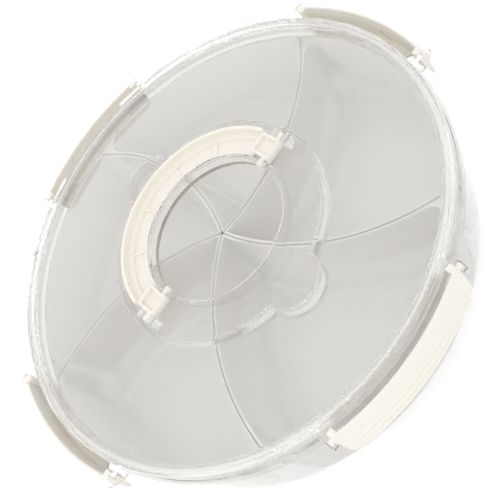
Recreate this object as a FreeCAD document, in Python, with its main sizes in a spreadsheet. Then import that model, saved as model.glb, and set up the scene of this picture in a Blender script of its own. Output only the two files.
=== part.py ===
import FreeCAD, Part
import math
import os
import re
import Sketcher

# A round clear storage tray in its own frame: millimetres, +Z up, origin under the middle of the tray on the
# surface that it stands on. The front latch is at -Y and the folded handle lies on the +Y side.
doc = FreeCAD.newDocument("compartment_tray")
sheet = doc.addObject("Spreadsheet::Sheet", "Sizes")

DRIVING_SIZES = {
    # Clearances
    "fit_gap": 0.3,
    "pin_gap": 0.1,
    # Lid: rim, skirt, plug wall and panel
    "rim_height": 72,
    "lid_radius": 153,
    "rim_width": 4.9,
    "rim_plate": 2.5,
    "lid_wall": 2,
    "panel_drop": 2,
    "skirt_depth": 11,
    "plug_inset": 4.7,
    "plug_depth": 12.4,
    "rim_round": 0.8,
    # Lid: handle well, island and finger scoops
    "well_radius": 74.5,
    "well_depth": 9.8,
    "well_floor": 1.8,
    "well_width": 23.7,
    "scoop_radius": 18,
    "scoop_bulge": 16,
    "bearing_width": 14,
    "bearing_depth": 5,
    "slot_width": 3.6,
    # Seal
    "seal_height": 2.7,
    "seal_gap": 0.2,
    # Base: wall, rim band and lip
    "foot_inset": 5.5,
    "band_rise": 1.9,
    "band_height": 6.2,
    "floor_thickness": 2.2,
    "foot_round": 12,
    "cell_round": 10,
    "cell_inset": 5.6,
    "cell_draft": 2.2,
    # Base: dividers
    "ridge_drop": 14.2,
    "divider_count": 5,
    "divider_bend": 1.02,
    "divider_turn": 81.5,
    "ridge_width": 4,
    "divider_foot": 20.25,
    "divider_wall": 1.8,
    "slot_inset": 21,
    # Handle
    "handle_gap": 5,
    "handle_clear": 1.2,
    "handle_rise": 2,
    "handle_bottom": 11.4,
    "handle_wall": 2.4,
    "wall_lean": 0.5,
    "ledge_width": 4,
    "ledge_drop": 3,
    "channel_drop": 5.2,
    "lip_drop": 4.2,
    "lip_width": 1.6,
    "pivot_drop": 4.7,
    "pivot_pin_radius": 2.5,
    "end_setback": 2.7,
    "end_clear": 1.5,
    "end_wall": 2,
    "end_round": 5,
    "end_cell_depth": 3,
    "pivot_pin_length": 5.5,
    "arc_inset": 9,
    "rib_thickness": 1.8,
    "rib_drop": 3.6,
    # Latches
    "latch_reach": 10.5,
    "latch_wall": 2.5,
    "latch_half_span": 52.7,
    "latch_top": 0.4,
    "lip_taper": 8,
    "latch_shoulder": 4.8,
    "latch_depth": 28.6,
    "latch_corner": 6.5,
    "hinge_drop": 4.5,
    "hinge_pin_radius": 1.7,
    "hinge_pin_length": 3,
    "knuckle_width": 4.2,
    "knuckle_inset": 3.5,
    "knuckle_depth": 12,
    "knuckle_slope": 10,
    "hook_thickness": 1,
    "hook_spread": 24,
    "grip_rise": 0.8,
    "grip_height": 2.2,
    "grip_pitch": 5.8,
    "grip_first": 14.8,
    "grip_spread": 32,
    # Ears that carry the latches
    "ear_thickness": 3.6,
    "ear_margin": 3.7,
}

# Radii and angles that follow from the sizes above
DERIVED_SIZES = {
    "plug_radius": "lid_radius - plug_inset",
    "foot_radius": "lid_radius - foot_inset",
    "shoulder_radius": "lid_radius",
    "band_radius": "lid_radius + band_rise",
    "cell_radius": "lid_radius - cell_inset",
    "slot_reach": "lid_radius - slot_inset",
    "divider_arc": "lid_radius * divider_bend",
    "flank_draft": "atan((divider_foot - ridge_width) / (2 * (rim_height - ridge_drop))) / 1 deg",
    "island_radius": "well_radius - well_width",
    "scoop_reach": "well_radius + scoop_bulge",
    "handle_radius": "well_radius - handle_gap",
    "handle_bore": "well_radius - well_width + handle_clear",
    "end_outer": "well_radius - handle_gap - end_setback",
    "end_inner": "well_radius - well_width + end_clear",
    "latch_radius": "lid_radius + latch_reach",
    "hinge_reach": "lid_radius",
}

RIB_ANGLES = (-78, -46.5, -15.5, 15.5, 46.5, 78)
LATCH_AZIMUTHS = {"latch_right": 0, "latch_rear": 90, "latch_left": 180, "latch_front": 270}
GRIP_COUNT = 3
FULL_TURN = 360
QUARTER_TURN = math.pi / 2
ALIAS_COLUMN = "A"
VALUE_COLUMN = "B"

cells = {alias: str(number) for alias, number in DRIVING_SIZES.items()}
cells.update({alias: "=" + formula for alias, formula in DERIVED_SIZES.items()})
for row, (alias, content) in enumerate(cells.items(), start=1):
    sheet.set(f"{ALIAS_COLUMN}{row}", alias)
    sheet.set(f"{VALUE_COLUMN}{row}", content)
    sheet.setAlias(f"{VALUE_COLUMN}{row}", alias)
doc.recompute()


def bound(formula):
    """Points each size name in a formula at its cell in the sheet."""
    return re.sub(r"[a-z]+(?:_[a-z]+)+", lambda name: "Sizes." + name.group(), formula)


def value(formula):
    return float(sheet.evalExpression(bound(formula)))


def new_body(label):
    body = doc.addObject("PartDesign::Body", label)
    body.Label = label
    return body


def origin(body, role):
    return next(feature for feature in body.Origin.OriginFeatures if feature.Role == role)


def new_sketch(body, name, role, lift=None):
    sketch = body.newObject("Sketcher::SketchObject", name)
    sketch.AttachmentSupport = (origin(body, role), [""])
    sketch.MapMode = "FlatFace"
    if lift:
        sketch.setExpression("AttachmentOffset.Base.z", bound(lift))
    return sketch


def hold(sketch, kind, geometry, point, formula):
    """Ties one coordinate of a sketch point to a formula."""
    number = value(formula)
    if formula == "0":
        axis = -2 if kind == "DistanceX" else -1
        sketch.addConstraint(Sketcher.Constraint("PointOnObject", geometry, point, axis))
        return
    index = sketch.addConstraint(Sketcher.Constraint(kind, -1, 1, geometry, point, number))
    sketch.setExpression(f"Constraints[{index}]", bound(formula))


def outline(body, name, role, corners, lift=None):
    """A closed sketch of straight edges, each corner tied to its two formulas."""
    sketch = new_sketch(body, name, role, lift)
    points = [FreeCAD.Vector(value(across), value(up), 0) for across, up in corners]
    count = len(points)
    for index, point in enumerate(points):
        sketch.addGeometry(Part.LineSegment(point, points[(index + 1) % count]))
    for index in range(count):
        sketch.addConstraint(Sketcher.Constraint("Coincident", index, 2, (index + 1) % count, 1))
    for index, (across, up) in enumerate(corners):
        hold(sketch, "DistanceX", index, 1, across)
        hold(sketch, "DistanceY", index, 1, up)
    return sketch


def revolve(body, name, sketch, angle="360", kind="Revolution"):
    feature = body.newObject("PartDesign::" + kind, name)
    feature.Profile = sketch
    feature.ReferenceAxis = (sketch, ["V_Axis"])
    feature.Midplane = True
    feature.setExpression("Angle", bound(angle))
    return feature


def solid_feature(body, kind, name, sizes, base=("0", "0", "0"), axis=(0, 0, 1), turn="0"):
    """A box or cylinder added to or cut from a body, with its sizes and place tied to the sheet."""
    feature = body.newObject("PartDesign::" + kind, name)
    feature.Placement = FreeCAD.Placement(
        FreeCAD.Vector(*(value(part) for part in base)),
        FreeCAD.Rotation(FreeCAD.Vector(*axis), value(turn)),
    )
    for size, formula in sizes.items():
        feature.setExpression(size, bound(formula))
    for letter, formula in zip("xyz", base):
        feature.setExpression("Placement.Base." + letter, bound(formula))
    return feature


def block(body, kind, name, low, high):
    """A box between two opposite corners."""
    sizes = {
        size: f"({top}) - ({bottom})"
        for size, bottom, top in zip(("Length", "Width", "Height"), low, high)
    }
    return solid_feature(body, kind + "Box", name, sizes, low)


def rod(body, kind, name, radius, length, base, axis=(0, 0, 1), turn="0"):
    return solid_feature(body, kind + "Cylinder", name, {"Radius": radius, "Height": length}, base, axis, turn)


def around(body, name, features, count):
    """Repeats features evenly about the tray's upright axis."""
    pattern = body.newObject("PartDesign::PolarPattern", name)
    pattern.Originals = features
    pattern.Axis = (origin(body, "Z_Axis"), [""])
    pattern.Angle = FULL_TURN
    pattern.setExpression("Occurrences", bound(count))
    body.Tip = pattern
    return pattern


def round_edges(body, name, base, radius, chosen):
    """Rounds the edges of base that the test picks out."""
    doc.recompute()
    names = [f"Edge{index}" for index, edge in enumerate(base.Shape.Edges, start=1) if chosen(edge)]
    feature = body.newObject("PartDesign::Fillet", name)
    feature.Base = (base, names)
    feature.setExpression("Radius", bound(radius))
    doc.recompute()
    return feature


def heights(edge):
    return [vertex.Z for vertex in edge.Vertexes]


def radii(edge):
    return [math.hypot(vertex.X, vertex.Y) for vertex in edge.Vertexes]


NEAR = 0.01


def near(number, formula):
    return abs(number - value(formula)) < NEAR


# Levels and radii that several pieces share
panel_top = "(rim_height - panel_drop)"
panel_under = "(rim_height - panel_drop - lid_wall)"
skirt_bottom = "(rim_height - skirt_depth)"
skirt_bore = "(lid_radius - lid_wall)"
plug_bottom = "(rim_height - plug_depth)"
channel_top = "(rim_height - rim_plate)"
well_top = "(rim_height - panel_drop - well_depth)"
well_under = "(rim_height - panel_drop - well_depth - well_floor)"
band_top = "(rim_height - skirt_depth - fit_gap)"
band_bottom = "(rim_height - skirt_depth - fit_gap - band_height)"
lip_bore = "(plug_radius + fit_gap)"
lip_outer = "(lid_radius - lid_wall - fit_gap)"
lip_top = "(rim_height - rim_plate - seal_height - fit_gap)"
ridge_top = "(rim_height - ridge_drop)"
pivot_height = "(rim_height - pivot_drop)"
hinge_height = "(rim_height - hinge_drop)"
pivot_bore = "(pivot_pin_radius + pin_gap)"


# Base tray: one clear moulding with a drafted wall, a rim band, a lip that enters the lid's channel, and five
# curved dividers that are hollow from below and meet at a star in the middle.
base_tray = new_body("base_tray")
floor_radius = "(cell_radius - (rim_height - ridge_drop - floor_thickness) * tan(cell_draft))"
shell_sketch = outline(base_tray, "shell_section", "XZ_Plane", [
    ("0", "0"),
    ("foot_radius", "0"),
    ("shoulder_radius", band_bottom),
    ("band_radius", band_bottom),
    ("band_radius", band_top),
    (lip_outer, band_top),
    (lip_outer, lip_top),
    (lip_bore, lip_top),
    (lip_bore, ridge_top),
    ("cell_radius", ridge_top),
    (floor_radius, "floor_thickness"),
    ("0", "floor_thickness"),
])
shell = revolve(base_tray, "shell", shell_sketch)


def divider_band(name, half_width, reach, lift=None):
    """A curved strip from the star towards the wall, drawn about the divider's own arc centre."""
    sketch = new_sketch(base_tray, name, "XY_Plane", lift)
    centre = ("(divider_arc * cos(divider_turn))", "(divider_arc * sin(divider_turn))")
    first = "(divider_turn + 180)"
    last = f"(divider_turn + 180 + 2 * asin({reach} / (2 * divider_arc)) / 1 deg)"
    middle = FreeCAD.Vector(value(centre[0]), value(centre[1]), 0)
    sides = (f"(divider_arc - {half_width})", f"(divider_arc + {half_width})")
    for index, side in enumerate(sides):
        circle = Part.Circle(middle, FreeCAD.Vector(0, 0, 1), value(side))
        sketch.addGeometry(Part.ArcOfCircle(circle, math.radians(value(first)), math.radians(value(last))))
        hold(sketch, "DistanceX", index, 3, centre[0])
        hold(sketch, "DistanceY", index, 3, centre[1])
        radius = sketch.addConstraint(Sketcher.Constraint("Radius", index, value(side)))
        sketch.setExpression(f"Constraints[{radius}]", bound(side))
        hold(sketch, "DistanceY", index, 1, f"{centre[1]} + {side} * sin({first})")
        hold(sketch, "DistanceX", index, 2, f"{centre[0]} + {side} * cos({last})")
    inner, outer = sketch.Geometry
    sketch.addGeometry(Part.LineSegment(inner.StartPoint, outer.StartPoint))
    sketch.addGeometry(Part.LineSegment(inner.EndPoint, outer.EndPoint))
    for line, point in ((2, 1), (3, 2)):
        sketch.addConstraint(Sketcher.Constraint("Coincident", line, 1, 0, point))
        sketch.addConstraint(Sketcher.Constraint("Coincident", line, 2, 1, point))
    return sketch


wall_reach = "((cell_radius + shoulder_radius) / 2)"
ridge_sketch = divider_band("ridge_line", "ridge_width / 2", wall_reach, ridge_top)
divider = base_tray.newObject("PartDesign::Pad", "divider")
divider.Profile = ridge_sketch
divider.Reversed = True
divider.setExpression("Length", bound(f"{ridge_top} - floor_thickness / 2"))
divider.setExpression("TaperAngle", bound("flank_draft"))
around(base_tray, "dividers", [divider], "divider_count")
doc.recompute()
trim_sketch = outline(base_tray, "outside_of_wall", "XZ_Plane", [
    ("foot_radius", "0"),
    ("shoulder_radius", band_bottom),
    ("shoulder_radius + lid_radius", band_bottom),
    ("shoulder_radius + lid_radius", "0"),
])
trim = revolve(base_tray, "trim_to_wall", trim_sketch, kind="Groove")
doc.recompute()


def cell_edge(edge):
    """An edge where a cell's floor, wall or dividers meet each other."""
    low, high = min(heights(edge)), max(heights(edge))
    on_floor = near(low, "floor_thickness") and near(high, "floor_thickness")
    beside_wall = near(low, "floor_thickness") and near(high, ridge_top) and min(radii(edge)) > value("cell_radius / 2")
    return on_floor or beside_wall


rounded_cells = round_edges(base_tray, "cell_rounding", trim, "cell_round", cell_edge)
round_edges(
    base_tray, "foot_rounding", rounded_cells, "foot_round",
    lambda edge: near(max(heights(edge)), "0") and near(max(radii(edge)), "foot_radius"),
)
hollow_half = f"(ridge_width / 2 + {ridge_top} * tan(flank_draft) - divider_wall)"
hollow_sketch = divider_band("hollow_line", hollow_half, "slot_reach")
hollow = base_tray.newObject("PartDesign::Pocket", "hollow")
hollow.Profile = hollow_sketch
hollow.Reversed = True
hollow.setExpression("Length", bound(f"{ridge_top} - divider_wall"))
hollow.setExpression("TaperAngle", bound("-flank_draft"))
around(base_tray, "hollows", [hollow], "divider_count")
doc.recompute()


# Lid: a clear panel with an inverted channel for a rim, a sunk ring-shaped well for the handle with an island in
# its middle, two finger scoops, bearings for the handle's pins and ears for the latches' pins.
lid = new_body("lid")
lid_sketch = outline(lid, "lid_section", "XZ_Plane", [
    ("0", panel_under),
    ("plug_radius - lid_wall", panel_under),
    ("plug_radius - lid_wall", plug_bottom),
    ("plug_radius", plug_bottom),
    ("plug_radius", channel_top),
    (skirt_bore, channel_top),
    (skirt_bore, skirt_bottom),
    ("lid_radius", skirt_bottom),
    ("lid_radius", "rim_height"),
    ("lid_radius - rim_width", "rim_height"),
    ("lid_radius - rim_width", panel_top),
    ("0", panel_top),
])
lid_shell = revolve(lid, "lid_shell", lid_sketch)
round_edges(
    lid, "rim_rounding", lid_shell, "rim_round",
    lambda edge: near(min(heights(edge)), "rim_height"),
)
scoop_centre = "(scoop_reach - scoop_radius)"
rod(lid, "Additive", "tub", "well_radius + lid_wall", f"{panel_top} - {well_under}", ("0", "0", well_under))
for side, place in (("rear", scoop_centre), ("front", f"-{scoop_centre}")):
    rod(lid, "Additive", f"{side}_scoop_tub", "scoop_radius + lid_wall", f"{panel_top} - {well_under}",
        ("0", place, well_under))
for side, place in (("rear", scoop_centre), ("front", f"-{scoop_centre}")):
    rod(lid, "Subtractive", f"{side}_scoop", "scoop_radius", "well_depth + rim_height", ("0", place, well_top))
rod(lid, "Subtractive", "well", "well_radius", "well_depth + rim_height", ("0", "0", well_top))
rod(lid, "Additive", "island", "island_radius", f"{panel_top} - {well_under}", ("0", "0", well_under))
rod(lid, "Subtractive", "island_hollow", "island_radius - lid_wall", f"{panel_under}", ("0", "0", "0"))

# Handle bearings: upright blocks on both sides of the well, with a round seat and a slot that the pin snaps through
bearing_half = "(bearing_width / 2)"
outer_bearing = "(end_outer + fit_gap)"
inner_bearing = "(end_inner - fit_gap)"
inner_bearing_root = "(island_radius - bearing_depth)"
for side, sign in (("right", 1), ("left", -1)):
    spans = {
        "outer": (outer_bearing, "well_radius + lid_wall / 2"),
        "inner": (inner_bearing_root, inner_bearing),
    }
    for name, (start, end) in spans.items():
        low, high = (start, end) if sign > 0 else (f"-({end})", f"-({start})")
        block(lid, "Additive", f"{side}_{name}_bearing",
              (low, f"-{bearing_half}", well_under), (high, bearing_half, panel_top))
    for name, (start, end) in spans.items():
        low, high = (start, end) if sign > 0 else (f"-({end})", f"-({start})")
        rod(lid, "Subtractive", f"{side}_{name}_seat", pivot_bore, f"({high}) - ({low})",
            (low, "0", pivot_height), (0, 1, 0), "90")
        block(lid, "Subtractive", f"{side}_{name}_slot",
              (low, "-slot_width / 2", pivot_height), (high, "slot_width / 2", "rim_height + rim_plate"))

# Latch ears: a bevelled plate beyond each end of each latch, bored for the latch's stub pins
ear_low = "(latch_half_span + fit_gap)"
ear_root = f"(sqrt({skirt_bore}^2 - {ear_low}^2) + fit_gap)"
ear_top = "(rim_height - hinge_drop + ear_margin)"
ear_front = "(hinge_reach + ear_margin)"
ear_corners = [
    (ear_root, skirt_bottom),
    ("hinge_reach - ear_margin", skirt_bottom),
    (ear_front, f"{hinge_height} - ear_margin / 2"),
    (ear_front, f"{hinge_height} + ear_margin / 2"),
    ("hinge_reach + ear_margin / 2", ear_top),
    (ear_root, ear_top),
]
ear_pads = []
for side, sign in (("left", 1), ("right", -1)):
    sketch = outline(lid, f"{side}_ear_outline", "XZ_Plane", ear_corners, f"{-sign} * {ear_low}")
    ear = lid.newObject("PartDesign::Pad", f"{side}_ear")
    ear.Profile = sketch
    ear.Reversed = sign > 0
    ear.setExpression("Length", bound("ear_thickness"))
    ear_pads.append(ear)
doc.recompute()
around(lid, "ears", ear_pads, str(len(LATCH_AZIMUTHS)))
doc.recompute()
for label, azimuth in LATCH_AZIMUTHS.items():
    outward = (math.cos(math.radians(azimuth)), math.sin(math.radians(azimuth)), 0)
    for side, sign in (("left", 1), ("right", -1)):
        rod(
            lid, "Subtractive", f"{label}_{side}_bore", "hinge_pin_radius + pin_gap", "ear_thickness",
            (
                f"hinge_reach * cos({azimuth}) - {sign} * {ear_low} * sin({azimuth})",
                f"hinge_reach * sin({azimuth}) + {sign} * {ear_low} * cos({azimuth})",
                hinge_height,
            ),
            outward, f"{-sign * 90}",
        )
doc.recompute()

# Lid seal: a soft ring held in the roof of the lid's channel, over the base's lip
lid_seal = new_body("lid_seal")
seal_inner = "(plug_radius + seal_gap)"
seal_outer = "(lid_radius - lid_wall - seal_gap)"
seal_bottom = f"({channel_top} - seal_height)"
seal_sketch = outline(lid_seal, "seal_section", "XZ_Plane", [
    (seal_inner, seal_bottom),
    (seal_outer, seal_bottom),
    (seal_outer, channel_top),
    (seal_inner, channel_top),
])
revolve(lid_seal, "seal_ring", seal_sketch)

# Carry handle: a half ring with a tall outer wall, a ledge, a ribbed channel and a low inner lip. It ends in two
# straight blocks, rounded about the pivot axis, with stub pins on both sides of each.
carry_handle = new_body("carry_handle")
handle_low = "(rim_height - handle_bottom)"
handle_top = "(rim_height + handle_rise)"
ledge_outer = "(handle_radius - handle_wall - wall_lean)"
ledge_inner = "(handle_radius - handle_wall - wall_lean - ledge_width)"
ledge_height = "(rim_height - ledge_drop)"
channel_floor = "(rim_height - channel_drop)"
channel_under = "(rim_height - channel_drop - handle_wall)"
channel_inner = "(handle_bore + lip_width)"
handle_sketch = outline(carry_handle, "handle_section", "YZ_Plane", [
    ("handle_bore", channel_under),
    ("handle_radius - handle_wall", channel_under),
    ("handle_radius - handle_wall", handle_low),
    ("handle_radius", handle_low),
    ("handle_radius - wall_lean", handle_top),
    (ledge_outer, handle_top),
    (ledge_outer, ledge_height),
    (ledge_inner, ledge_height),
    (ledge_inner, channel_floor),
    (channel_inner, channel_floor),
    (channel_inner, "rim_height - lip_drop"),
    ("handle_bore", "rim_height - lip_drop"),
])
revolve(carry_handle, "handle_arc", handle_sketch, "180 - 2 * arc_inset")
doc.recompute()
end_reach = "(handle_radius * sin(arc_inset))"
end_top = f"({pivot_height} + end_round)"
end_bottom = f"({pivot_height} - end_round)"
for side, sign in (("right", 1), ("left", -1)):
    low, high = ("end_inner", "end_outer") if sign > 0 else ("-end_outer", "-end_inner")
    block(carry_handle, "Additive", f"{side}_end", (low, "0", end_bottom), (high, end_reach, end_top))
    rod(carry_handle, "Additive", f"{side}_end_round", "end_round", f"({high}) - ({low})",
        (low, "0", pivot_height), (0, 1, 0), "90")
    block(carry_handle, "Subtractive", f"{side}_end_cell",
          (f"{low} + end_wall", "end_wall - end_round", f"{end_top} - end_cell_depth"),
          (f"{high} - end_wall", f"{end_reach} - end_wall", f"{end_top} + end_wall"))
    outer, inner = ("end_outer", "end_inner - pivot_pin_length") if sign > 0 else (
        "-end_outer - pivot_pin_length", "-end_inner")
    for name, place in (("outer", outer), ("inner", inner)):
        rod(carry_handle, "Additive", f"{side}_{name}_pin", "pivot_pin_radius", "pivot_pin_length",
            (place, "0", pivot_height), (0, 1, 0), "90")
for index, angle in enumerate(RIB_ANGLES):
    start = f"({channel_inner} - lip_width / 2)"
    solid_feature(
        carry_handle, "AdditiveBox", f"rib_{index}",
        {
            "Length": "rib_thickness",
            "Width": f"{ledge_inner} + lip_width / 2 - {start}",
            "Height": f"rim_height - rib_drop - {channel_floor}",
        },
        (
            f"-rib_thickness / 2 * cos({angle}) - {start} * sin({angle})",
            f"-rib_thickness / 2 * sin({angle}) + {start} * cos({angle})",
            channel_floor,
        ),
        (0, 0, 1), f"{angle}",
    )
doc.recompute()


# Latches: a curved flap whose two end knuckles turn on stub pins in the lid's ears, with a hook that comes up to
# the lower edge of the base's rim band, and three grip ribs outside
latch_inner = "(latch_radius - latch_wall)"
latch_bottom = "(rim_height - latch_depth)"
latch_crest = "(rim_height - latch_top)"
hook_tip = "(band_radius + fit_gap)"
hook_top = f"({band_bottom} - fit_gap)"


def cut_lower_corner(latch, name, sign):
    """Rounds one lower corner of a flap, seen along its radius."""
    side = f"{sign} * latch_half_span"
    turn_in = f"{sign} * (latch_half_span - latch_corner)"
    past_side = f"{sign} * (latch_half_span + latch_wall)"
    past_bottom = f"{latch_bottom} - latch_wall"
    turn_up = f"{latch_bottom} + latch_corner"
    corners = [
        (turn_in, latch_bottom),
        (turn_in, past_bottom),
        (past_side, past_bottom),
        (past_side, turn_up),
        (side, turn_up),
    ]
    sketch = new_sketch(latch, f"{name}_outline", "YZ_Plane")
    points = [FreeCAD.Vector(value(across), value(up), 0) for across, up in corners]
    for first, second in zip(points, points[1:]):
        sketch.addGeometry(Part.LineSegment(first, second))
    last_line = len(points) - 2
    for index in range(last_line):
        sketch.addConstraint(Sketcher.Constraint("Coincident", index, 2, index + 1, 1))
    for index, (across, up) in enumerate(corners[:-1]):
        hold(sketch, "DistanceX", index, 1, across)
        hold(sketch, "DistanceY", index, 1, up)
    hold(sketch, "DistanceX", last_line, 2, corners[-1][0])
    hold(sketch, "DistanceY", last_line, 2, corners[-1][1])
    middle = FreeCAD.Vector(value(turn_in), value(turn_up), 0)
    circle = Part.Circle(middle, FreeCAD.Vector(0, 0, 1), value("latch_corner"))
    turn = (-QUARTER_TURN, 0) if sign > 0 else (2 * QUARTER_TURN, 3 * QUARTER_TURN)
    arc = sketch.addGeometry(Part.ArcOfCircle(circle, *turn))
    bottom_end, side_end = (1, 2) if sign > 0 else (2, 1)
    sketch.addConstraint(Sketcher.Constraint("Coincident", arc, bottom_end, 0, 1))
    sketch.addConstraint(Sketcher.Constraint("Coincident", arc, side_end, last_line, 2))
    radius = sketch.addConstraint(Sketcher.Constraint("Radius", arc, value("latch_corner")))
    sketch.setExpression(f"Constraints[{radius}]", bound("latch_corner"))
    pocket = latch.newObject("PartDesign::Pocket", name)
    pocket.Profile = sketch
    pocket.Reversed = True
    pocket.setExpression("Length", bound("2 * latch_radius"))


def make_latch(label, azimuth):
    latch = new_body(label)
    flap_sketch = outline(latch, f"{label}_flap_section", "XZ_Plane", [
        (latch_inner, f"{latch_bottom} + lip_taper"),
        (f"{latch_inner} + latch_wall / 2", latch_bottom),
        ("latch_radius", latch_bottom),
        ("latch_radius", "rim_height - latch_shoulder"),
        (f"{latch_inner} + latch_wall / 3", latch_crest),
        (latch_inner, f"{latch_crest} - latch_wall / 3"),
    ])
    sweep = f"2 * asin((latch_half_span + latch_wall) / {latch_inner}) / 1 deg"
    revolve(latch, f"{label}_flap", flap_sketch, sweep)
    hook_root = f"({latch_inner} + latch_wall / 2)"
    hook_sketch = outline(latch, f"{label}_hook_section", "XZ_Plane", [
        (hook_tip, hook_top),
        (hook_root, hook_top),
        (hook_root, f"{hook_top} - hook_thickness - ({hook_root} - {hook_tip}) / 2"),
        (hook_tip, f"{hook_top} - hook_thickness"),
    ])
    revolve(latch, f"{label}_hook", hook_sketch, "hook_spread")
    for index in range(GRIP_COUNT):
        middle = f"(rim_height - grip_first - {index} * grip_pitch)"
        grip_sketch = outline(latch, f"{label}_grip_{index}_section", "XZ_Plane", [
            ("latch_radius - latch_wall / 2", f"{middle} - grip_height / 2"),
            ("latch_radius", f"{middle} - grip_height / 2"),
            ("latch_radius + grip_rise", f"{middle} - grip_height / 4"),
            ("latch_radius + grip_rise", f"{middle} + grip_height / 4"),
            ("latch_radius", f"{middle} + grip_height / 2"),
            ("latch_radius - latch_wall / 2", f"{middle} + grip_height / 2"),
        ])
        revolve(latch, f"{label}_grip_{index}", grip_sketch, "grip_spread")
    doc.recompute()
    for side, sign in (("left", 1), ("right", -1)):
        span = ("latch_half_span", "2 * latch_half_span") if sign > 0 else (
            "-2 * latch_half_span", "-latch_half_span")
        block(latch, "Subtractive", f"{label}_{side}_trim",
              ("0", span[0], "0"), ("2 * latch_radius", span[1], "2 * rim_height"))
        cut_lower_corner(latch, f"{label}_{side}_corner", sign)
    doc.recompute()
    knuckle_root = "(hinge_reach - knuckle_inset)"
    knuckle_front = f"(sqrt({latch_inner}^2 - latch_half_span^2) + latch_wall / 2)"
    for side, sign in (("left", 1), ("right", -1)):
        knuckle_sketch = outline(latch, f"{label}_{side}_knuckle_outline", "XZ_Plane", [
            (knuckle_root, f"{hinge_height} + ear_margin"),
            (knuckle_front, f"{hinge_height} + ear_margin"),
            (knuckle_front, "rim_height - knuckle_depth - knuckle_slope"),
            (knuckle_root, "rim_height - knuckle_depth"),
        ], f"{-sign} * latch_half_span")
        knuckle = latch.newObject("PartDesign::Pad", f"{label}_{side}_knuckle")
        knuckle.Profile = knuckle_sketch
        knuckle.Reversed = sign < 0
        knuckle.setExpression("Length", bound("knuckle_width"))
        rod(latch, "Additive", f"{label}_{side}_pin", "hinge_pin_radius", "knuckle_width + hinge_pin_length",
            ("hinge_reach", f"{sign} * (latch_half_span - knuckle_width)", hinge_height),
            (1, 0, 0), f"{-sign * 90}")
    latch.Placement = FreeCAD.Placement(
        FreeCAD.Vector(), FreeCAD.Rotation(FreeCAD.Vector(0, 0, 1), azimuth))
    return latch


latches = [make_latch(label, azimuth) for label, azimuth in LATCH_AZIMUTHS.items()]
doc.recompute()

pieces = [base_tray, lid, lid_seal, carry_handle, *latches]
for item in doc.Objects:
    if "Invalid" in item.State or "Error" in item.State:
        raise RuntimeError(f"{item.Name} failed: {item.State}")
for piece in pieces:
    if piece.Shape.isNull() or not piece.Shape.isValid() or len(piece.Shape.Solids) != 1:
        raise RuntimeError(f"{piece.Label} is not one sound solid")
os.makedirs("parts", exist_ok=True)
for piece in pieces:
    piece.Shape.exportStep(f"parts/{piece.Label}.step")
    print(piece.Label, round(piece.Shape.Volume))
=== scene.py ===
import bmesh
import bpy
import math
from mathutils import Matrix, Vector


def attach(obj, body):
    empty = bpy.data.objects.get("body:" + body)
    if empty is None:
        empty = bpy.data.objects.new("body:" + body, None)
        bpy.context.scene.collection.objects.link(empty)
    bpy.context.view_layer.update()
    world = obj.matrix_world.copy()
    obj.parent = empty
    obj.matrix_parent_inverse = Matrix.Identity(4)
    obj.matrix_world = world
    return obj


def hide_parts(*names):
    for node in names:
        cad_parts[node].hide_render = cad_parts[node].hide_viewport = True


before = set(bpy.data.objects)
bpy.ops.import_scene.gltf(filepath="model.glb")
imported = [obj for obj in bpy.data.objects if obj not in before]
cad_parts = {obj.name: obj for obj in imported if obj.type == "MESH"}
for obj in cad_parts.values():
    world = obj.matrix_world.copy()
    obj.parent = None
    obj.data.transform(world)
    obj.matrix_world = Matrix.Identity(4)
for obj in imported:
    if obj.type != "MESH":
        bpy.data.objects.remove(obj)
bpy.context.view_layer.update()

# Base tray: one clear injection moulding with a drafted wall, a rim band and five curved dividers that meet
# at a star in the middle. The cells have a soft polish inside and a greyer tint, which is painted shade for
# the shaded floor seen through them; the outside is glossy, and the ridges are rounded over. The upper wall,
# the band and the lip are swept again, finer than the CAD mesh has them.
ridge_rounding = 0.0009
band_rounding = 0.0005
tray_tint = (0.87, 0.865, 0.855, 1)
# Greyer tint of the cells: painted shade for the shaded floor seen through them; the soft finish is real
cell_tint_with_painted_shade = (0.83, 0.818, 0.80, 1)
tray_shadow = (0.93, 0.925, 0.915, 1)
crossing_limit = 5.5
ridge_height = 0.0578
cell_radius = 0.1474
floor_level = 0.0021
wall_cut = 0.0300
wall_inside = 0.1483
band_inside = 0.1487
facing_up = 0.01
wall_section = (
    (0.15058, 0.0305), (0.1530, 0.0545), (0.1549, 0.0545), (0.1549, 0.0607),
    (0.1507, 0.0607), (0.1507, 0.0665), (0.14875, 0.0665), (0.14875, 0.0578),
)
round_steps = 288
merge_distance = 0.0000005
level_margin = 0.00001
flat_angle = math.radians(0.5)
crease_angle = math.radians(32)


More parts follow.
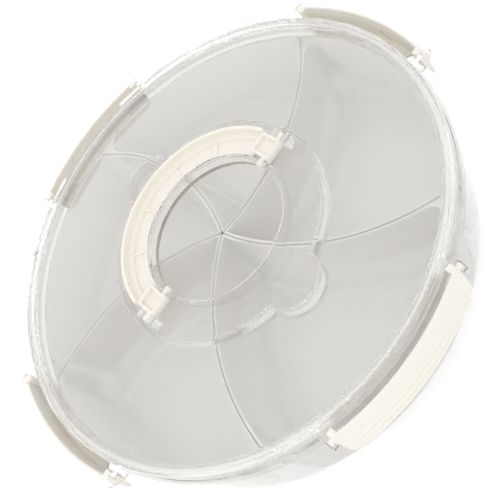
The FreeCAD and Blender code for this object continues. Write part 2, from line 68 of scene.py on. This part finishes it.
def moulded_skin():
    """The slow ripple and the drift in gloss that a moulded surface shows, as a node group."""
    group = bpy.data.node_groups.new("moulded_skin", "ShaderNodeTree")
    for name in ("Ripple Scale", "Gloss Scale", "Roughness Low", "Roughness High"):
        group.interface.new_socket(name, in_out="INPUT", socket_type="NodeSocketFloat")
    for name in ("Roughness", "Height"):
        group.interface.new_socket(name, in_out="OUTPUT", socket_type="NodeSocketFloat")
    nodes, links = group.nodes, group.links
    inputs = nodes.new("NodeGroupInput")
    outputs = nodes.new("NodeGroupOutput")
    place = nodes.new("ShaderNodeTexCoord")
    ripple = nodes.new("ShaderNodeTexNoise")
    ripple.inputs["Detail"].default_value = 1.0
    gloss = nodes.new("ShaderNodeTexNoise")
    gloss.inputs["Detail"].default_value = 3.0
    spread = nodes.new("ShaderNodeMapRange")
    spread.inputs["From Min"].default_value = 0.3
    spread.inputs["From Max"].default_value = 0.7
    for texture, scale in ((ripple, "Ripple Scale"), (gloss, "Gloss Scale")):
        links.new(place.outputs["Object"], texture.inputs["Vector"])
        links.new(inputs.outputs[scale], texture.inputs["Scale"])
    links.new(gloss.outputs["Fac"], spread.inputs["Value"])
    links.new(inputs.outputs["Roughness Low"], spread.inputs["To Min"])
    links.new(inputs.outputs["Roughness High"], spread.inputs["To Max"])
    links.new(spread.outputs["Result"], outputs.inputs["Roughness"])
    links.new(ripple.outputs["Fac"], outputs.inputs["Height"])
    return group


def moulded_material(name, skin, ripple_scale, ripple_depth, gloss_scale, low, high):
    """A plastic whose roughness and bump come from the moulded skin. Gives the material and its shader."""
    material = bpy.data.materials.new(name)
    material.use_nodes = True
    nodes, links = material.node_tree.nodes, material.node_tree.links
    shader = nodes["Principled BSDF"]
    finish = nodes.new("ShaderNodeGroup")
    finish.node_tree = skin
    finish.inputs["Ripple Scale"].default_value = ripple_scale
    finish.inputs["Gloss Scale"].default_value = gloss_scale
    finish.inputs["Roughness Low"].default_value = low
    finish.inputs["Roughness High"].default_value = high
    bump = nodes.new("ShaderNodeBump")
    bump.inputs["Strength"].default_value = 1.0
    bump.inputs["Distance"].default_value = ripple_depth
    links.new(finish.outputs["Roughness"], shader.inputs["Roughness"])
    links.new(finish.outputs["Height"], bump.inputs["Height"])
    links.new(bump.outputs["Normal"], shader.inputs["Normal"])
    return material, shader


def let_light_through(material, shader, tint):
    """Shadow rays, and rays that have crossed several walls, pass a clear wall with a little loss."""
    nodes, links = material.node_tree.nodes, material.node_tree.links
    ray = nodes.new("ShaderNodeLightPath")
    through = nodes.new("ShaderNodeBsdfTransparent")
    through.inputs["Color"].default_value = tint
    mix = nodes.new("ShaderNodeMixShader")
    deep = nodes.new("ShaderNodeMath")
    deep.operation = "GREATER_THAN"
    deep.inputs[1].default_value = crossing_limit
    passing = nodes.new("ShaderNodeMath")
    passing.operation = "MAXIMUM"
    links.new(ray.outputs["Ray Depth"], deep.inputs[0])
    links.new(ray.outputs["Is Shadow Ray"], passing.inputs[0])
    links.new(deep.outputs["Value"], passing.inputs[1])
    links.new(passing.outputs["Value"], mix.inputs["Fac"])
    links.new(shader.outputs["BSDF"], mix.inputs[1])
    links.new(through.outputs["BSDF"], mix.inputs[2])
    links.new(mix.outputs["Shader"], nodes["Material Output"].inputs["Surface"])


def clear_plastic(name, tint, shadow_tint, clarity, bend, low, high):
    """A clear moulded plastic with a thin gloss coat."""
    material, shader = moulded_material(
        name, skin, ripple_scale=28, ripple_depth=0.00006, gloss_scale=60, low=low, high=high,
    )
    shader.inputs["Base Color"].default_value = tint
    shader.inputs["Transmission Weight"].default_value = clarity
    shader.inputs["IOR"].default_value = bend
    shader.inputs["Coat Weight"].default_value = 0.8
    shader.inputs["Coat Roughness"].default_value = 0.03
    let_light_through(material, shader, shadow_tint)
    return material


def joined_copy(node):
    """A bmesh of a CAD node with its loose triangles joined into faces."""
    shape = bmesh.new()
    shape.from_mesh(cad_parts[node].data)
    bmesh.ops.remove_doubles(shape, verts=shape.verts, dist=merge_distance)
    bmesh.ops.dissolve_limit(shape, angle_limit=flat_angle, verts=shape.verts, edges=shape.edges)
    return shape


def round_creases(shape, rounding, segments, chosen=None):
    """Rounds the creases of a mesh, or those of them that are chosen, and keeps the others sharp."""
    creases = [edge for edge in shape.edges if edge.is_manifold and edge.calc_face_angle() > crease_angle]
    rounded = [edge for edge in creases if chosen is None or chosen(edge)]
    for edge in creases:
        edge.smooth = False
    for edge in rounded:
        edge.smooth = True
    bmesh.ops.bevel(
        shape, geom=rounded, offset=rounding, offset_type="OFFSET", segments=segments, profile=0.5,
        affect="EDGES", material=-1, clamp_overlap=True,
    )


def sweep_round(shape, section):
    """Turns an open section of radii and heights once round the upright axis."""
    chain = [shape.verts.new((radius, 0, height)) for radius, height in section]
    links = [shape.edges.new(pair) for pair in zip(chain, chain[1:])]
    before = set(shape.faces)
    bmesh.ops.spin(
        shape, geom=chain + links, cent=(0, 0, 0), axis=(0, 0, 1), angle=2 * math.pi, steps=round_steps,
        use_merge=True, use_duplicate=False,
    )
    made = [face for face in shape.faces if face not in before]
    made_verts = list(dict.fromkeys(vert for face in made for vert in face.verts))
    bmesh.ops.remove_doubles(shape, verts=made_verts, dist=merge_distance)


def at_level(edge, height):
    """Whether an edge lies level at a height."""
    return all(abs(vert.co.z - height) < level_margin for vert in edge.verts)


def smooth_piece(shape, name, materials, node, body):
    """Turns a finished bmesh into the piece that stands for a CAD node and rides on its body."""
    mesh = bpy.data.meshes.new(name)
    shape.to_mesh(mesh)
    shape.free()
    for face in mesh.polygons:
        face.use_smooth = True
    for material in materials:
        mesh.materials.append(material)
    piece = bpy.data.objects.new(name, mesh)
    bpy.context.scene.collection.objects.link(piece)
    normals = piece.modifiers.new("even_shading", "WEIGHTED_NORMAL")
    normals.weight = 50
    normals.keep_sharp = True
    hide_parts(node)
    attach(piece, body)
    return piece


def on_ridge(edge):
    """An upper edge of a divider, inside the tray's wall."""
    inside = all(vert.co.xy.length < cell_radius - level_margin for vert in edge.verts)
    return inside and at_level(edge, ridge_height)


def on_band(edge):
    """An edge of the wall, band or lip, outside the ledge."""
    return min(vert.co.xy.length for vert in edge.verts) > band_inside


def outside_wall(face, height):
    """A face of the CAD tray's wall, band or lip that lies wholly above a height."""
    return all(vert.co.z > height - level_margin and vert.co.xy.length > wall_inside for vert in face.verts)


skin = moulded_skin()
tray_plastic = clear_plastic(
    "tray_clear_plastic", tray_tint, tray_shadow, clarity=0.9, bend=1.25, low=0.02, high=0.05,
)
# Cell plastic: a softer, milkier copy of the tray plastic whose greyer tint is painted shade
cell_plastic_with_painted_shade = clear_plastic(
    "cell_soft_plastic_with_painted_shade", cell_tint_with_painted_shade, tray_shadow, clarity=0.35, bend=1.25, low=0.14, high=0.2,
)
tray_shape = joined_copy("base_tray")
round_creases(tray_shape, ridge_rounding, 3, on_ridge)
wall_faces = [face for face in tray_shape.faces if outside_wall(face, 0)]
wall_edges = list(dict.fromkeys(edge for face in wall_faces for edge in face.edges))
wall_verts = list(dict.fromkeys(vert for face in wall_faces for vert in face.verts))
bmesh.ops.bisect_plane(
    tray_shape, geom=wall_faces + wall_edges + wall_verts, dist=merge_distance, plane_co=(0, 0, wall_cut),
    plane_no=(0, 0, 1), use_snap_center=False, clear_outer=False, clear_inner=False,
)
upper_faces = [face for face in tray_shape.faces if outside_wall(face, wall_cut)]
bmesh.ops.delete(tray_shape, geom=upper_faces, context="FACES")
cut_edges = {edge for edge in tray_shape.edges if edge.is_boundary}
wall_edge = [edge for edge in tray_shape.edges if edge in cut_edges and at_level(edge, wall_cut)]
ledge_edge = [edge for edge in tray_shape.edges if edge in cut_edges and at_level(edge, ridge_height)]
sweep_round(tray_shape, wall_section)
swept_edges = [edge for edge in tray_shape.edges if edge.is_boundary and edge not in cut_edges]
swept_foot = [edge for edge in swept_edges if at_level(edge, wall_section[0][1])]
swept_ledge = [edge for edge in swept_edges if at_level(edge, ridge_height)]
bmesh.ops.bridge_loops(tray_shape, edges=wall_edge + swept_foot)
bmesh.ops.triangle_fill(
    tray_shape, edges=ledge_edge + swept_ledge, use_beauty=True, use_dissolve=False, normal=(0, 0, 1),
)
bmesh.ops.recalc_face_normals(tray_shape, faces=tray_shape.faces)
round_creases(tray_shape, band_rounding, 3, on_band)
# Upward faces inside the cells get the copy with the painted shade
for face in tray_shape.faces:
    centre = face.calc_center_median()
    inside = centre.z > floor_level and centre.xy.length < cell_radius + level_margin
    face.material_index = 1 if inside and face.normal.z > facing_up else 0
tray_plastics = [tray_plastic, cell_plastic_with_painted_shade]
smooth_piece(tray_shape, "clear_tray", tray_plastics, "base_tray", "base")

# Ridge lines, painted shade: a fine dark line along the ridge of each hollow divider stands in for the shade
# seen there, and the five lines end in a small dark star. Each is a thin strip swept along the divider's own
# arc, let into the ridge.
shade_line_half_width = 0.00032
shade_line_depth = 0.0003
shade_line_rise = 0.00003
divider_arc = 0.15606
divider_turn = math.radians(81.5)
divider_count = 5
shade_line_reach = 0.1472
shade_line_steps = 40
shade_line_turn = 2 * math.asin(shade_line_reach / (2 * divider_arc))
star_radius = 0.0011
star_points = 10
star_taper = 0.8
# Dark colour of the ridge lines and star: painted shade, not a colour of the plastic
shade_line_painted_colour = (0.30, 0.275, 0.25, 1)
shade_line_shape = bmesh.new()
for index in range(divider_count):
    direction = divider_turn + 2 * math.pi * index / divider_count
    centre = Vector((divider_arc * math.cos(direction), divider_arc * math.sin(direction), 0))
    across = -centre.normalized()
    corners = [
        shade_line_shape.verts.new(centre + across * (divider_arc + offset) + Vector((0, 0, height)))
        for offset, height in (
            (-shade_line_half_width, ridge_height - shade_line_depth),
            (shade_line_half_width, ridge_height - shade_line_depth),
            (shade_line_half_width, ridge_height + shade_line_rise),
            (-shade_line_half_width, ridge_height + shade_line_rise),
        )
    ]
    section = shade_line_shape.faces.new(corners)
    bmesh.ops.spin(
        shade_line_shape, geom=[section, *section.edges, *section.verts], cent=centre, axis=(0, 0, 1),
        angle=shade_line_turn, steps=shade_line_steps, use_merge=False, use_duplicate=False,
    )
bmesh.ops.create_cone(
    shade_line_shape, cap_ends=True, segments=star_points, radius1=star_radius, radius2=star_radius * star_taper,
    depth=shade_line_depth, matrix=Matrix.Translation((0, 0, ridge_height + shade_line_rise - shade_line_depth / 2)),
)
bmesh.ops.recalc_face_normals(shade_line_shape, faces=shade_line_shape.faces)
shade_line_mesh = bpy.data.meshes.new("ridge_painted_shade_lines")
shade_line_shape.to_mesh(shade_line_mesh)
shade_line_shape.free()
# The material of the ridge lines carries painted shade
ridge_painted_shade, ridge_painted_shade_shader = moulded_material(
    "ridge_painted_shade", skin, ripple_scale=90, ripple_depth=0.00002, gloss_scale=140, low=0.3, high=0.4,
)
ridge_painted_shade_shader.inputs["Base Color"].default_value = shade_line_painted_colour
shade_line_mesh.materials.append(ridge_painted_shade)
ridge_shade_lines = bpy.data.objects.new("ridge_painted_shade_lines", shade_line_mesh)
bpy.context.scene.collection.objects.link(ridge_shade_lines)
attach(ridge_shade_lines, "base")

# Lid seal: a soft translucent silicone ring pressed into the roof of the lid's channel. Its top is drawn a
# hair below the roof, so that no two faces coincide.
silicone_colour = (0.93, 0.925, 0.91, 1)
seal_section = ((0.1485, 0.0668), (0.1508, 0.0668), (0.1508, 0.0694), (0.1485, 0.0694), (0.1485, 0.0668))
seal_rounding = 0.0005
silicone, silicone_shader = moulded_material(
    "seal_silicone", skin, ripple_scale=90, ripple_depth=0.00003, gloss_scale=140, low=0.38, high=0.5,
)
silicone_shader.inputs["Base Color"].default_value = silicone_colour
silicone_shader.inputs["Transmission Weight"].default_value = 0.6
silicone_shader.inputs["IOR"].default_value = 1.2
let_light_through(silicone, silicone_shader, silicone_colour)
seal_shape = bmesh.new()
sweep_round(seal_shape, seal_section)
bmesh.ops.recalc_face_normals(seal_shape, faces=seal_shape.faces)
round_creases(seal_shape, seal_rounding, 3)
seal = smooth_piece(seal_shape, "silicone_seal", [silicone], "lid_seal", "lid")
seal.visible_shadow = False
seal.visible_diffuse = False

# Lid: a clear moulding like the tray, with a channel for a rim, a flat panel, and a sunk ring for the handle
# with a finger scoop at the front and at the rear
lid_tint = (0.95, 0.948, 0.94, 1)
lid_shadow = (0.93, 0.93, 0.925, 1)
lid_plastic = clear_plastic(
    "lid_clear_plastic", lid_tint, lid_shadow, clarity=1.0, bend=1.25, low=0.015, high=0.035,
)
rim_section = (
    (0.1481, 0.0700), (0.1481, 0.0720), (0.1530, 0.0720), (0.1530, 0.0610), (0.1510, 0.0610),
    (0.1510, 0.0695), (0.1483, 0.0695), (0.1483, 0.0596), (0.1463, 0.0596), (0.1463, 0.0680),
)
panel_top, panel_under = 0.0700, 0.0680
well_top, well_under = 0.0602, 0.0584
well_radius, scoop_radius, scoop_place = 0.0745, 0.0180, 0.0725
island_radius = 0.0508
lid_wall = 0.0020
scoop_steps = 60
lid_rounding = 0.0004
lid_shape = bmesh.new()


def ring(shape, radius, height):
    """A full circle of edges about the lid's axis."""
    before = set(shape.edges)
    first = shape.verts.new((radius, 0, height))
    bmesh.ops.spin(
        shape, geom=[first], cent=(0, 0, 0), axis=(0, 0, 1), angle=2 * math.pi, steps=round_steps,
        use_merge=True, use_duplicate=False,
    )
    return [edge for edge in shape.edges if edge not in before]


def well_loop(shape, radius, scoop, height):
    """The edge of the well: a circle with a finger scoop let into it at the rear and at the front."""
    before = set(shape.edges)
    across = (radius ** 2 + scoop_place ** 2 - scoop ** 2) / (2 * scoop_place)
    reach = math.sqrt(radius ** 2 - across ** 2)
    main_turn = math.pi - 2 * math.atan2(reach, across)
    scoop_turn = 2 * math.atan2(reach, across - scoop_place)
    vert = shape.verts.new((reach, -across, height))
    arcs = (
        ((0, 0, 0), main_turn, round_steps // 2),
        ((0, scoop_place, 0), scoop_turn, scoop_steps),
        ((0, 0, 0), main_turn, round_steps // 2),
        ((0, -scoop_place, 0), scoop_turn, scoop_steps),
    )
    for centre, turn, steps in arcs:
        made = bmesh.ops.spin(
            shape, geom=[vert], cent=centre, axis=(0, 0, 1), angle=turn, steps=steps, use_merge=False,
            use_duplicate=False,
        )
        vert = next(item for item in made["geom_last"] if isinstance(item, bmesh.types.BMVert))
    loop = [edge for edge in shape.edges if edge not in before]
    loop_verts = list(dict.fromkeys(vert for edge in loop for vert in edge.verts))
    bmesh.ops.remove_doubles(shape, verts=loop_verts, dist=level_margin)
    return [edge for edge in shape.edges if edge not in before]


def drawn_wall(shape, loop, height):
    """Draws an upright wall from a loop to another height and gives the loop at its far end."""
    made = bmesh.ops.extrude_edge_only(shape, edges=loop)["geom"]
    for item in made:
        if isinstance(item, bmesh.types.BMVert):
            item.co.z = height
    return [item for item in made if isinstance(item, bmesh.types.BMEdge) and at_level(item, height)]


sweep_round(lid_shape, rim_section)
open_rims = [edge for edge in lid_shape.edges if edge.is_boundary]
for rim_start, well_gap, level, well_floor, island_gap in (
    (rim_section[0], 0.0, panel_top, well_top, 0.0),
    (rim_section[-1], lid_wall, panel_under, well_under, -lid_wall),
):
    outer = [edge for edge in open_rims if at_level(edge, rim_start[1])]
    outline = well_loop(lid_shape, well_radius + well_gap, scoop_radius + well_gap, level)
    bmesh.ops.triangle_fill(lid_shape, edges=outer + outline, use_beauty=True)
    floor_edge = drawn_wall(lid_shape, outline, well_floor)
    island_foot = ring(lid_shape, island_radius + island_gap, well_floor)
    bmesh.ops.triangle_fill(lid_shape, edges=floor_edge + island_foot, use_beauty=True)
    island_edge = drawn_wall(lid_shape, island_foot, level)
    bmesh.ops.contextual_create(lid_shape, geom=island_edge)
bmesh.ops.recalc_face_normals(lid_shape, faces=lid_shape.faces)
bmesh.ops.dissolve_limit(lid_shape, angle_limit=flat_angle, verts=lid_shape.verts, edges=lid_shape.edges)
round_creases(lid_shape, lid_rounding, 2)

# The lid's bearings stand in the well at both ends of the handle, and a bevelled ear stands beyond each end
# of each latch. Both are closed blocks that are sunk a little into the lid.
bearing_half_width = 0.0070
bearing_sink = 0.0002
slot_half_width = 0.0026
slot_bottom = 0.0647
bearing_spans = ((0.0671, 0.0735), (0.0500, 0.0520))
bearing_top = 0.0699
bearing_section = (
    (-bearing_half_width, well_top - bearing_sink), (bearing_half_width, well_top - bearing_sink),
    (bearing_half_width, bearing_top), (slot_half_width, bearing_top),
    (slot_half_width, slot_bottom), (-slot_half_width, slot_bottom),
    (-slot_half_width, bearing_top), (-bearing_half_width, bearing_top),
)
ear_section = (
    (0.1420, 0.0612), (0.1493, 0.0612), (0.1567, 0.06565),
    (0.1567, 0.06935), (0.15485, 0.0712), (0.1420, 0.0712),
)
ear_start, ear_thickness = 0.0530, 0.0036
detail_rounding = 0.0003
latch_count = 4


def small_block(corners, along, length, rounding):
    """A block drawn from a flat outline along a direction, with rounded creases, in its own bmesh."""
    block = bmesh.new()
    face = block.faces.new([block.verts.new(corner) for corner in corners])
    made = bmesh.ops.extrude_face_region(block, geom=[face])["geom"]
    far = [item for item in made if isinstance(item, bmesh.types.BMVert)]
    bmesh.ops.translate(block, verts=far, vec=Vector(along) * length)
    bmesh.ops.recalc_face_normals(block, faces=block.faces)
    round_creases(block, rounding, 2)
    return block


def add_block(shape, block):
    """Moves a finished block into the bmesh of its piece."""
    mesh = bpy.data.meshes.new("block")
    block.to_mesh(mesh)
    block.free()
    shape.from_mesh(mesh)
    bpy.data.meshes.remove(mesh)


for sign in (1, -1):
    for start, end in bearing_spans:
        corners = [(sign * start, across, height) for across, height in bearing_section]
        bearing = small_block(corners, (sign, 0, 0), end - start, detail_rounding)
        add_block(lid_shape, bearing)
for index in range(latch_count):
    for sign in (1, -1):
        corners = [(radius, sign * ear_start, height) for radius, height in ear_section]
        ear = small_block(corners, (0, sign, 0), ear_thickness, detail_rounding)
        turn = Matrix.Rotation(2 * math.pi * index / latch_count, 3, "Z")
        bmesh.ops.rotate(ear, verts=ear.verts, cent=(0, 0, 0), matrix=turn)
        add_block(lid_shape, ear)
lid = smooth_piece(lid_shape, "clear_lid", [lid_plastic], "lid", "lid")
lid.visible_shadow = False
lid.visible_diffuse = False

# Carry handle: an ivory half-ring moulding with a ribbed channel and four stub pins, its edges softened as
# the mould leaves them
handle_rounding = 0.0005
ivory_colour = (0.93, 0.89, 0.815, 1)


def ivory_plastic(name):
    """An opaque ivory plastic that light enters a little way."""
    material, shader = moulded_material(
        name, skin, ripple_scale=40, ripple_depth=0.00003, gloss_scale=120, low=0.26, high=0.36,
    )
    shader.inputs["Base Color"].default_value = ivory_colour
    shader.inputs["IOR"].default_value = 1.5
    shader.inputs["Subsurface Weight"].default_value = 0.2
    shader.inputs["Subsurface Radius"].default_value = (1.0, 0.8, 0.55)
    shader.inputs["Subsurface Scale"].default_value = 0.004
    return material


handle_shape = joined_copy("carry_handle")
round_creases(handle_shape, handle_rounding, 3)
handle_plastic = ivory_plastic("handle_ivory_plastic")
smooth_piece(handle_shape, "ivory_handle", [handle_plastic], "carry_handle", "handle")

# Latches: four ivory flaps with grip ribs, which turn on stub pins in the lid's ears. All four have the same
# ivory plastic as the handle.
latch_rounding = 0.0004
latch_plastic = ivory_plastic("latch_ivory_plastic")
for side in ("right", "rear", "left", "front"):
    node = f"latch_{side}"
    latch_shape = joined_copy(node)
    round_creases(latch_shape, latch_rounding, 3)
    smooth_piece(latch_shape, f"ivory_{node}", [latch_plastic], node, node)

# Studio: a pale floor, an even sky with a softbox above, and a camera that is rolled as the photograph is.
# The floor glows a little for rays from the camera, reflections and clear plastic, so that it reads white.
floor_half_width = 3.0
floor_glow = 0.35
floor_colour = (0.9, 0.9, 0.9, 1)
floor_shape = bmesh.new()
bmesh.ops.create_grid(floor_shape, x_segments=1, y_segments=1, size=floor_half_width)
floor_mesh = bpy.data.meshes.new("studio_floor")
floor_shape.to_mesh(floor_mesh)
floor_shape.free()
floor = bpy.data.objects.new("studio_floor", floor_mesh)
bpy.context.scene.collection.objects.link(floor)
floor_paint = bpy.data.materials.new("floor_paint")
floor_paint.use_nodes = True
floor_nodes, floor_links = floor_paint.node_tree.nodes, floor_paint.node_tree.links
paint = floor_nodes["Principled BSDF"]
paint.inputs["Base Color"].default_value = floor_colour
paint.inputs["Roughness"].default_value = 0.9
paint.inputs["Specular IOR Level"].default_value = 0.0
paint.inputs["Emission Color"].default_value = (1, 1, 1, 1)
floor_ray = floor_nodes.new("ShaderNodeLightPath")
floor_seen = floor_nodes.new("ShaderNodeMath")
floor_seen.operation = "ADD"
floor_seen.use_clamp = True
floor_through = floor_nodes.new("ShaderNodeMath")
floor_through.operation = "ADD"
floor_through.use_clamp = True
floor_lift = floor_nodes.new("ShaderNodeMath")
floor_lift.operation = "MULTIPLY"
floor_lift.inputs[1].default_value = floor_glow
floor_links.new(floor_ray.outputs["Is Camera Ray"], floor_seen.inputs[0])
floor_links.new(floor_ray.outputs["Is Glossy Ray"], floor_seen.inputs[1])
floor_links.new(floor_seen.outputs["Value"], floor_through.inputs[0])
floor_links.new(floor_ray.outputs["Is Transmission Ray"], floor_through.inputs[1])
floor_links.new(floor_through.outputs["Value"], floor_lift.inputs[0])
floor_links.new(floor_lift.outputs["Value"], paint.inputs["Emission Strength"])
floor_mesh.materials.append(floor_paint)

world = bpy.data.worlds.new("studio_sky")
world.use_nodes = True
bpy.context.scene.world = world
sky_nodes, sky_links = world.node_tree.nodes, world.node_tree.links
sky = sky_nodes["Background"]
sky.inputs["Color"].default_value = (0.97, 0.97, 0.97, 1)
backdrop = sky_nodes.new("ShaderNodeBackground")
backdrop.inputs["Color"].default_value = (1, 1, 1, 1)
sky_ray = sky_nodes.new("ShaderNodeLightPath")
sky_mix = sky_nodes.new("ShaderNodeMixShader")
shown = sky_nodes.new("ShaderNodeMath")
shown.operation = "MAXIMUM"
reflected = sky_nodes.new("ShaderNodeMath")
reflected.operation = "MAXIMUM"
sky_links.new(sky_ray.outputs["Is Camera Ray"], shown.inputs[0])
sky_links.new(sky_ray.outputs["Is Transmission Ray"], shown.inputs[1])
sky_links.new(shown.outputs["Value"], reflected.inputs[0])
sky_links.new(sky_ray.outputs["Is Glossy Ray"], reflected.inputs[1])
sky_links.new(reflected.outputs["Value"], sky_mix.inputs["Fac"])
sky_links.new(sky.outputs["Background"], sky_mix.inputs[1])
sky_links.new(backdrop.outputs["Background"], sky_mix.inputs[2])
sky_links.new(sky_mix.outputs["Shader"], sky_nodes["World Output"].inputs["Surface"])

softbox = bpy.data.lights.new("softbox", "AREA")
softbox.shape = "DISK"
softbox.size = 0.9
softbox.energy = 1.6
softbox_lamp = bpy.data.objects.new("softbox", softbox)
softbox_place = Vector((-0.45, -0.75, 1.15))
softbox_aim = softbox_place.to_track_quat("Z", "Y").to_matrix().to_4x4()
softbox_lamp.matrix_world = Matrix.Translation(softbox_place) @ softbox_aim
bpy.context.scene.collection.objects.link(softbox_lamp)

lens = bpy.data.cameras.new("photo_camera")
lens.lens = 58.27
lens.sensor_width = 36.0
lens.clip_start = 0.01
camera = bpy.data.objects.new("photo_camera", lens)
camera_axes = Matrix((
    (0.5915, 0.8059, -0.0261),
    (-0.6200, 0.4339, -0.6537),
    (-0.5155, 0.4028, 0.7563),
))
camera.matrix_world = Matrix.Translation((-0.0116, -0.3495, 0.4315)) @ camera_axes.to_4x4()
bpy.context.scene.collection.objects.link(camera)
bpy.context.scene.camera = camera
bpy.context.scene.view_settings.view_transform = "Standard"
